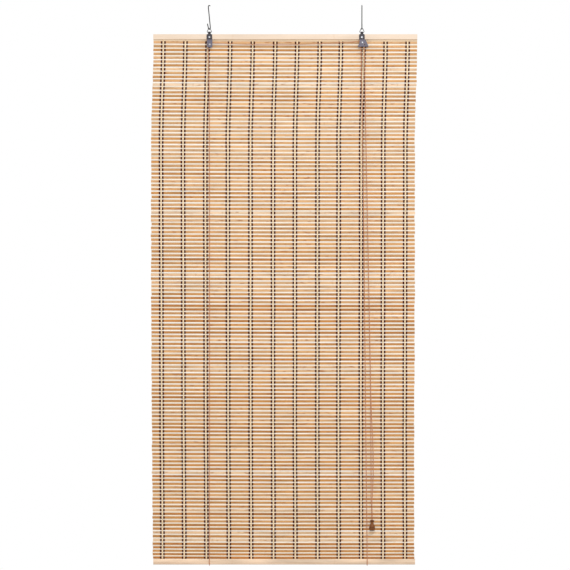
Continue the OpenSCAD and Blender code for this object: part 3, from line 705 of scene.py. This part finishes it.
def turnKnob():
    s = knobSet
    x, y, z = (value * mm for value in s["top"])
    rings = [(s["radius"] * r, -s["height"] * h) for h, r in s["profile"]]
    roof = -s["height"] + s["hollowDepth"]
    wall, ceiling = (s["hollow"] * share for share in s["hollowShares"])
    rings += [(s["hollow"], -s["height"]), (wall, roof + s["hollowEdge"]), (ceiling, roof),
              (s["hole"], roof), (s["hole"], 0.0)]
    clearSelection()
    bpy.ops.mesh.primitive_circle_add(vertices=s["sides"], radius=rings[0][0] * mm, location=(x, y, z))
    knob = bpy.context.object
    knob.name = "turnedKnob"
    bakePlace(knob)
    bpy.ops.object.mode_set(mode="EDIT")
    bpy.ops.mesh.select_all(action="SELECT")
    for radius, drop in rings[1:]:
        bpy.ops.mesh.extrude_region_move()
        bm = bmesh.from_edit_mesh(knob.data)
        for vert in bm.verts:
            if vert.select:
                way = Vector((vert.co.x - x, vert.co.y - y, 0)).normalized() * radius * mm
                vert.co = (x + way.x, y + way.y, z + drop * mm)
        bmesh.update_edit_mesh(knob.data)
    # the wall of the hole meets the first ring again
    bpy.ops.mesh.select_all(action="DESELECT")
    bpy.ops.mesh.select_mode(type="EDGE")
    bm = bmesh.from_edit_mesh(knob.data)
    for edge in bm.edges:
        edge.select_set(edge.is_boundary)
    bmesh.update_edit_mesh(knob.data)
    bpy.ops.mesh.bridge_edge_loops()
    bpy.ops.mesh.select_all(action="SELECT")
    bpy.ops.mesh.normals_make_consistent(inside=False)
    bpy.ops.object.mode_set(mode="OBJECT")
    smoothByAngle(knob, 50)
    dress(knob, knobFinish())
    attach(knob, "blind")
    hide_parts("cord_knob")
    return knob


# two strands twisted into one above the knob
tailSet = {
    "diameter": 3.2 * mm,
    "sides": 14,
    "ringStep": 0.8 * mm,
    "plies": 2,
    "twistLength": 16 * mm,
    "plyDepth": 0.16,
    "colour": toneOf(190, 120, 80),
    # the darker colour is painted shade in the grooves between the plies, and the colour of the fuzz
    "grooveShadeAndFuzzColour": toneOf(142, 80, 48),
}


def layTail(knob):
    s = tailSet
    tail, line, length = layCord("pullTail", "pull_tail", tailRoute, **s)
    dress(tail, yarnFinish("twistedTail", s["colour"], s["grooveShadeAndFuzzColour"], plies=2.0, lay=0.35))


layTail(turnKnob())
print("knob turned")


# the mat: brown and pale slats in turn, woven together by threads

matSet = {
    "rows": 138,
    "pitch": 11.57 * mm,
    "topZ": 3.57 * mm,
    "midY": -8.8 * mm,
    "headLowZ": -8 * mm,
    "drop": 136 * 11.57 * mm,
    "slatLength": 799 * mm,
    # the mat drifts to the left over the first outShare of its drop and comes back from backShare on,
    # and its ends draw in from taperShare on
    "driftOut": 7 * mm,
    "outShare": 0.2,
    "driftBack": 1.5 * mm,
    "backShare": 0.7,
    "taper": 3.5 * mm,
    "taperShare": 0.4,
    "fold": 0.11,  # share of the drop that is left at the top of the lift
    # how far the rows hang below even spacing: all of them, less of it at the left, and then
    # how much that changes on the way down, from which share of the drop and over how much of it
    "sag": 2.2 * mm,
    "leftLift": 1.5 * mm,
    "sagChanges": ((10.8 * mm, 0.05, 0.5), (-8 * mm, 0.65, 0.4), (-5.5 * mm, 0.965, 0.045)),
    # the slats beside the head rail reach up behind it, and the last row stays within the bottom rail
    "tuckUp": 4.0 * mm,
    "tuckIn": 4.0 * mm,
    # how the slats differ: lengthwise place, ends, height, slope, bow and twist
    "slideVaries": 0.5,
    "endVaries": 0.45,
    "riseVaries": 0.12,
    "tiltVaries": 0.0002,
    "bowVaries": 0.14,
    "twistVaries": 0.07,
    "twistTurn": 2.2,
    "endShare": 0.99,
    "seeds": (0, 40),
    # how their tones differ, with a few light ones, and a dark one under the head rail that is painted shadow
    # of the rail
    "toneVaries": 0.21,
    "lightShare": 0.06,
    "lightTones": (0.85, 1.0),
    "headShadowTone": 0.06,
}


def eased(share):
    c = max(0.0, min(1.0, share))
    return c * c * (3 - 2 * c)


def dropShare(z):
    return (matSet["headLowZ"] - z) / matSet["drop"]


def driftAt(z):
    s = matSet
    share = dropShare(z)
    back = s["driftBack"] * eased((share - s["backShare"]) / (1 - s["backShare"]))
    return back - s["driftOut"] * eased(share / s["outShare"])


def taperAt(z):
    # how far each end of the slats draws in at this height
    start = matSet["taperShare"]
    return matSet["taper"] * eased((dropShare(z) - start) / (1 - start))


def sagAt(x, z):
    s = matSet
    share = dropShare(z)
    low = s["sag"] + sum(change * eased((share - start) / over) for change, start, over in s["sagChanges"])
    return low - s["leftLift"] * max(0.0, -x) / (s["slatLength"] / 2)


def foldWithRail(piece):
    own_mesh(piece)


brownSlat = {
    "name": "brownSlats",
    "startDrop": 4.27 * mm,
    "height": 7.3 * mm,
    "thickness": 2.2 * mm,
    "gap": 0.32 * mm,
    "bevel": 0.7 * mm,
    "bevelSteps": 2,
    "cuts": 3,
    "seed": 11,
    "tones": [
        (0.0, toneOf(189, 126, 60)), (0.35, toneOf(208, 152, 87)), (0.62, toneOf(222, 175, 122)),
        (0.88, toneOf(232, 194, 150)), (1.0, toneOf(241, 211, 175)),
    ],
    "fibre": toneOf(172, 106, 52),
    "streaks": 0.4,
    "strokes": 0.75,
    "patch": 0.42,
    "toneMiddle": 0.54,
    "paintedFalloffShade": 0.4,
}
paleSlat = {
    "name": "paleSlats",
    "startDrop": 0.0,
    "height": 4.27 * mm,
    "thickness": 3.6 * mm,
    "gap": 0.3 * mm,
    "bevel": 1.2 * mm,
    "bevelSteps": 3,
    "cuts": 3,
    "seed": 29,
    "tones": [
        (0.0, toneOf(240, 214, 178)), (0.3, toneOf(252, 238, 215)), (1.0, toneOf(255, 250, 240)),
    ],
    "fibre": toneOf(236, 208, 172),
    "streaks": 0.35,
    "strokes": 0.4,
    "patch": 0.2,
    "toneMiddle": 0.8,
    "paintedFalloffShade": 0.34,
}


def cutSlat(s):
    # one slat at the top of the mat: a bar with rounded long edges and a few cuts across
    def pickLongEdges():
        bm = bmesh.from_edit_mesh(slat.data)
        for edge in bm.edges:
            edge.select_set(abs(edge.verts[0].co.x - edge.verts[1].co.x) > 0.5 * m["slatLength"])
        bmesh.update_edit_mesh(slat.data)

    m = matSet
    high = s["height"] - s["gap"]
    middle = m["topZ"] - s["startDrop"] - s["height"] / 2
    clearSelection()
    bpy.ops.mesh.primitive_cube_add(size=1, location=(0, m["midY"], middle))
    slat = bpy.context.object
    slat.name = s["name"]
    slat.scale = (m["slatLength"], s["thickness"], high)
    bakePlace(slat)
    bpy.ops.object.mode_set(mode="EDIT")
    bpy.ops.mesh.select_all(action="DESELECT")
    pickLongEdges()
    bpy.ops.mesh.bevel(offset=s["bevel"], segments=s["bevelSteps"], affect="EDGES")
    pickLongEdges()
    bpy.ops.mesh.subdivide(number_cuts=s["cuts"])
    bpy.ops.object.mode_set(mode="OBJECT")
    return slat


def weaveSlats(s, nodesReplaced):
    m = matSet
    slat = cutSlat(s)
    perSlat = len(slat.data.vertices)
    applyModifier(slat, "ARRAY", count=m["rows"], use_relative_offset=False, use_constant_offset=True,
                  constant_offset_displace=(0, 0, -m["pitch"]))
    draw = random.Random(s["seed"])
    tones, seeds = [], []
    for row in range(m["rows"]):
        # painted shade: the mean tone falls towards the bottom rows, as the light falls off lower down
        middle = s["toneMiddle"] - s["paintedFalloffShade"] * (row / m["rows"]) ** 2
        tone = min(1.0, max(0.0, draw.gauss(middle, m["toneVaries"])))
        if draw.random() < m["lightShare"]:
            tone = draw.uniform(*m["lightTones"])
        seed = draw.uniform(*m["seeds"])
        slide = draw.gauss(0, m["slideVaries"]) * mm
        leftEnd = draw.gauss(0, m["endVaries"]) * mm
        rightEnd = draw.gauss(0, m["endVaries"]) * mm
        rise = draw.gauss(0, m["riseVaries"]) * mm
        tilt = draw.gauss(0, m["tiltVaries"])
        bow = draw.gauss(0, m["bowVaries"]) * mm
        twist = draw.gauss(0, m["twistVaries"]) * mm
        lastRow = row == m["rows"] - 1
        tucked = row == 0 or lastRow
        if lastRow:
            leftEnd, rightEnd = m["tuckIn"], -m["tuckIn"]
        underHead = row == 1 and s is paleSlat
        inHead = row == 0 and s is brownSlat
        # painted shadow of the head rail: the pale slat just under it takes a dark tone
        if underHead:
            tone = m["headShadowTone"]
        rowMiddle = m["topZ"] - s["startDrop"] - row * m["pitch"] - s["height"] / 2
        for index in range(row * perSlat, (row + 1) * perSlat):
            co = slat.data.vertices[index].co
            share = co.x / (m["slatLength"] / 2)
            fall = sagAt(co.x, co.z)
            if underHead and co.z > rowMiddle or inHead and co.z < rowMiddle:
                co.z += m["tuckUp"]
            if not tucked:
                co.z += rise + tilt * co.x + bow * (1 - share * share)
                co.y += twist * math.sin(m["twistTurn"] * share + seed)
            if share < -m["endShare"]:
                co.x += leftEnd + taperAt(co.z)
            elif share > m["endShare"]:
                co.x += rightEnd - taperAt(co.z)
            co.x += slide + driftAt(co.z)
            co.z -= fall
            tones.append(tone)
            seeds.append(seed)
    for label, values in (("slatTone", tones), ("slatSeed", seeds)):
        layer = slat.data.attributes.new(label, "FLOAT", "POINT")
        layer.data.foreach_set("value", values)
    smoothByAngle(slat, 40)
    dress(slat, bambooFinish(s["name"] + "Stain", s["tones"][1][1], s["fibre"], fibre=s["streaks"],
                             patch=s["patch"], joints=0.3, strokes=s["strokes"], tones=s["tones"], gloss=0.3))
    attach(slat, "blind")
    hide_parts(*nodesReplaced)
    foldWithRail(slat)


weaveSlats(brownSlat, ["slat_mat"])
weaveSlats(paleSlat, ["slat_mat"])
print("slats woven")


threadSet = {
    "bandPitch": 67 * mm,
    # each band's own place beside its even one
    "bandShifts": tuple(v * mm for v in (0, -0.6, -0.2, 1.0, 2.2, 3.4, 2.6, 3.8, 0.8, 2.0, 1.6, 1.4)),
    "rows": 136,
    # how much farther out the outer bands lie at the top, from which share of the drop and over how much
    # of it that ends, and the share of the slat ends' taper that they follow
    "spread": 1.1 * mm,
    "spreadEnd": (0.25, 0.25),
    "drawIn": 0.55,
    "frontOfBrown": -10.75 * mm,
    "frontOfPale": -10.95 * mm,
    "behindBrown": -7.4 * mm,
    "behindPale": -6.75 * mm,
    "sides": 6,
    # heights in a row, from the top of its pale slat
    "stops": (1.35 * mm, 3.35 * mm, 4.1 * mm, 12.15 * mm),
    # slow and quick wandering sideways: how often, from which layer of the noise and how far
    "wanders": ((14, 0.5, 0.7), (90, 7.5, 0.35)),
    "phases": (0, 100),
    "mergeWithin": 0.00005,
    "topWithin": 0.1 * mm,
    "startInHead": 0.5 * mm,
    "yarnScale": (520, 1, 620),
}
darkThread = {
    "name": "darkThreads", "node": "dark_warp_threads", "slot": "dark_thread", "thick": 0.6 * mm,
    "places": ((-4.9 * mm, 0, 5.0 * mm), (4.9 * mm, 0, 5.0 * mm)), "seed": 5,  # shift, phase and width
    # groove: painted shade in the grooves between the plies, and the colour of the fuzz
    "colour": toneOf(80, 16, 8), "groove": toneOf(44, 7, 4),
}
tanThread = {
    "name": "tanThreads", "node": "tan_warp_threads", "slot": "tan_thread", "thick": 0.5 * mm,
    "places": ((0.1 * mm, 0, 4.8 * mm), (-0.1 * mm, 1, 3.4 * mm)), "seed": 6,
    # groove: painted shade in the grooves between the plies, and the colour of the fuzz
    "colour": toneOf(255, 234, 196), "groove": toneOf(250, 210, 162),
}


def spinThread(s, phase, width):
    # one row of a thread: over the brown slat and behind the pale one, or the other way round
    t = threadSet
    pale, brown = (t["behindPale"], t["frontOfBrown"]) if phase == 0 else (t["frontOfPale"], t["behindBrown"])
    depths = (pale, pale, brown, brown)
    clearSelection()
    bpy.ops.mesh.primitive_circle_add(vertices=t["sides"], radius=width / 2,
                                      location=(0, depths[0], matSet["headLowZ"] - t["stops"][0]))
    thread = bpy.context.object
    thread.scale = (1, s["thick"] / width, 1)
    bakePlace(thread)
    bpy.ops.object.mode_set(mode="EDIT")
    bpy.ops.mesh.select_all(action="SELECT")
    levels = list(zip(depths, t["stops"])) + [(depths[0], t["stops"][0] + matSet["pitch"])]
    for (fromY, fromStop), (toY, toStop) in zip(levels, levels[1:]):
        step = (0, toY - fromY, fromStop - toStop)
        bpy.ops.mesh.extrude_region_move(TRANSFORM_OT_translate={"value": step})
    bpy.ops.object.mode_set(mode="OBJECT")
    return thread


def spreadAt(z):
    t = threadSet
    start, over = t["spreadEnd"]
    return t["spread"] * (1 - eased((dropShare(z) - start) / over)) - t["drawIn"] * taperAt(z)


def weaveThreads(s):
    t = threadSet
    draw = random.Random(s["seed"])
    topEnd = matSet["headLowZ"] - t["stops"][0]
    copies = []
    for shift, phase, width in s["places"]:
        thread = spinThread(s, phase, width)
        applyModifier(thread, "ARRAY", count=t["rows"], use_relative_offset=False, use_constant_offset=True,
                      constant_offset_displace=(0, 0, -matSet["pitch"]), use_merge_vertices=True,
                      merge_threshold=t["mergeWithin"])
        bands = len(t["bandShifts"])
        for band, ownShift in enumerate(t["bandShifts"]):
            clearSelection()
            strand = thread.copy()
            strand.data = thread.data.copy()
            bpy.context.scene.collection.objects.link(strand)
            middle = (band - (bands - 1) / 2) * t["bandPitch"] + ownShift + shift
            outwards = middle / (matSet["slatLength"] / 2)
            phaseShift = draw.uniform(*t["phases"])
            for vert in strand.data.vertices:
                co = vert.co
                sway, quiver = (noise.noise((phaseShift, co.z * often, layer)) * reach * mm
                                for often, layer, reach in t["wanders"])
                co.x += middle + driftAt(co.z) + outwards * spreadAt(co.z) + sway + quiver
                if co.z > topEnd - t["topWithin"]:
                    co.z = matSet["headLowZ"] + t["startInHead"]
                else:
                    co.z -= sagAt(co.x, co.z)
            copies.append(strand)
        bpy.data.objects.remove(thread)
    joined = joinPieces(copies, s["name"])
    pickOnly(joined)
    bpy.ops.object.mode_set(mode="EDIT")
    bpy.ops.mesh.select_all(action="SELECT")
    bpy.ops.mesh.fill_holes(sides=t["sides"])
    bpy.ops.mesh.select_all(action="SELECT")
    bpy.ops.mesh.normals_make_consistent(inside=False)
    bpy.ops.object.mode_set(mode="OBJECT")
    smoothByAngle(joined, 80)
    dress(joined, threadFinish(s))
    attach(joined, "blind")
    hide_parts(s["node"])
    foldWithRail(joined)
    print(s["name"], len(joined.data.polygons), "faces")


def threadFinish(s):
    # slanting plies in the strand, from its own place
    material, tree, shader, places = newMaterial(s["name"] + "Yarn")
    group = placeGroup(tree, yarnTwist, Colour=s["colour"], Groove_Colour=s["groove"], Plies=1.0, Lay=1.0,
                       Fuzz=0.35)
    swapped = addNode(tree, "ShaderNodeSeparateXYZ")
    plug(tree, stretched(tree, places.outputs["Object"], threadSet["yarnScale"]), swapped.inputs[0])
    joinedUv = addNode(tree, "ShaderNodeCombineXYZ")
    plug(tree, swapped.outputs[0], joinedUv.inputs[0])
    plug(tree, swapped.outputs[2], joinedUv.inputs[1])
    plug(tree, joinedUv.outputs[0], group.inputs["UV"])
    plug(tree, places.outputs["Object"], group.inputs["Vector"])
    plug(tree, group.outputs["Colour"], shader.inputs["Base Color"])
    plug(tree, group.outputs["Rough"], shader.inputs["Roughness"])
    shader.inputs["Specular IOR Level"].default_value = 0.15
    addBump(tree, shader, group.outputs["Height"], 0.4, 0.0002)
    return material


weaveThreads(darkThread)
weaveThreads(tanThread)


# rails and fittings keep their solids and take their finishes here

battenFinish = bambooFinish("planedBatten", toneOf(241, 220, 198), toneOf(228, 194, 160), fibre=0.32,
                            patch=0.1, joints=0.25, gloss=0.35)
strapFinish = metalFinish("gunmetalStrap", toneOf(52, 48, 53), toneOf(102, 99, 105), toneOf(31, 29, 34),
                          metallic=0.35, rough=0.45)
coverFinish = metalFinish("blueGreyCover", toneOf(93, 89, 103), toneOf(148, 146, 161), toneOf(66, 64, 77),
                          metallic=0.35, rough=0.42)
hookFinish = metalFinish("blackenedWire", toneOf(26, 25, 25), toneOf(60, 59, 58), toneOf(15, 14, 14),
                         metallic=0.0, rough=0.55, gloss=0.12)
ringFinish = metalFinish("platedWire", toneOf(96, 96, 100), toneOf(160, 161, 164), toneOf(60, 60, 64),
                         metallic=0.4, rough=0.35, gloss=0.3)
brightFinish = metalFinish("brightSteel", toneOf(176, 177, 182), toneOf(212, 212, 216), toneOf(124, 126, 131),
                           metallic=0.9, rough=0.24)
nailFinish = metalFinish("wireNail", toneOf(168, 168, 166), toneOf(210, 210, 208), toneOf(104, 102, 98),
                         metallic=0.9, rough=0.36)
wheelFinish = metalFinish("mouldedNylon", toneOf(232, 228, 218), toneOf(244, 242, 236), toneOf(206, 200, 186),
                          metallic=0.0, rough=0.5)
# painted shade: the foot batten darkens towards its lower edge
footBattenFinish = bambooFinish("planedFootBatten", toneOf(250, 224, 196), toneOf(218, 178, 140), fibre=0.5,
                                patch=0.35, joints=0.2, gloss=0.3,
                                paintedLowEdgeShade=(-1.588, -1.594, (0.84, 0.81, 0.79, 1)))
nodeFinishes = {
    "head_front_batten": battenFinish, "head_rear_batten": battenFinish,
    "bottom_front_batten": footBattenFinish, "bottom_rear_batten": footBattenFinish,
    "head_nails": nailFinish, "bottom_nails": nailFinish, "strap_screws": brightFinish,
    "left_strap": strapFinish, "lock_strap": strapFinish,
    "left_pulley_cover": coverFinish, "lock_cover": coverFinish,
    "left_pulley_wheel": wheelFinish, "lock_wheel": wheelFinish,
    "left_axle_rivet": brightFinish, "lock_axle_rivet": brightFinish, "lock_roller": ringFinish,
    "left_ring": ringFinish, "right_ring": ringFinish,
    "left_hook": hookFinish, "right_hook": hookFinish,
}
for nodeName, finish in nodeFinishes.items():
    dress(nodes[nodeName], finish)
print("rails and fittings finished")


# floor, light and white surround

studioSet = {
    "floorZ": -1.75,
    "floorReach": (3.2, 3.3),
    "floorMiddle": (0, -0.85),
    "floorTones": ((0.72, 0.72, 0.72, 1), (0.76, 0.76, 0.76, 1)),
    "floorRough": 0.8,
    "ambient": 0.6,
    "keyPlace": (0.8, -4.4, 1.5),
    "keyAim": (0, 0, -0.6),
    "keySize": 2.0,
    "keyPower": 110,
}


def layFloor():
    s = studioSet
    clearSelection()
    bpy.ops.mesh.primitive_plane_add(size=1, location=(*s["floorMiddle"], s["floorZ"]))
    floor = bpy.context.object
    floor.name = "paleFloor"
    floor.scale = (*s["floorReach"], 1)
    bakePlace(floor)
    material, tree, shader, places = newMaterial("paleFloorPaint")
    speck = noiseOf(tree, places.outputs["Object"], 40.0, 2.0, 0.5)
    painted = mixColours(tree, spread(tree, speck, 0.3, 0.7), *s["floorTones"])
    plug(tree, painted, shader.inputs["Base Color"])
    shader.inputs["Roughness"].default_value = s["floorRough"]
    dress(floor, material)


def hangLights():
    s = studioSet
    clearSelection()
    bpy.ops.object.light_add(type="AREA", location=s["keyPlace"])
    key = bpy.context.object
    key.name = "softKey"
    key.data.shape = "SQUARE"
    key.data.size = s["keySize"]
    key.data.energy = s["keyPower"]
    way = Vector(s["keyAim"]) - Vector(s["keyPlace"])
    key.rotation_euler = way.to_track_quat("-Z", "Y").to_euler()
    world = bpy.data.worlds.new("whiteSurround")
    bpy.context.scene.world = world
    world.use_nodes = True
    tree = world.node_tree
    back = tree.nodes["Background"]
    back.inputs["Color"].default_value = (1, 1, 1, 1)
    rays = addNode(tree, "ShaderNodeLightPath")
    seen = mathNode(tree, "MAXIMUM", rays.outputs["Is Camera Ray"], rays.outputs["Is Glossy Ray"])
    seen = mathNode(tree, "MAXIMUM", seen, rays.outputs["Is Transmission Ray"])
    plug(tree, spread(tree, seen, 0, 1, s["ambient"], 1.0), back.inputs["Strength"])
    bpy.context.scene.view_settings.view_transform = "Standard"


layFloor()
hangLights()
print("studio lit")
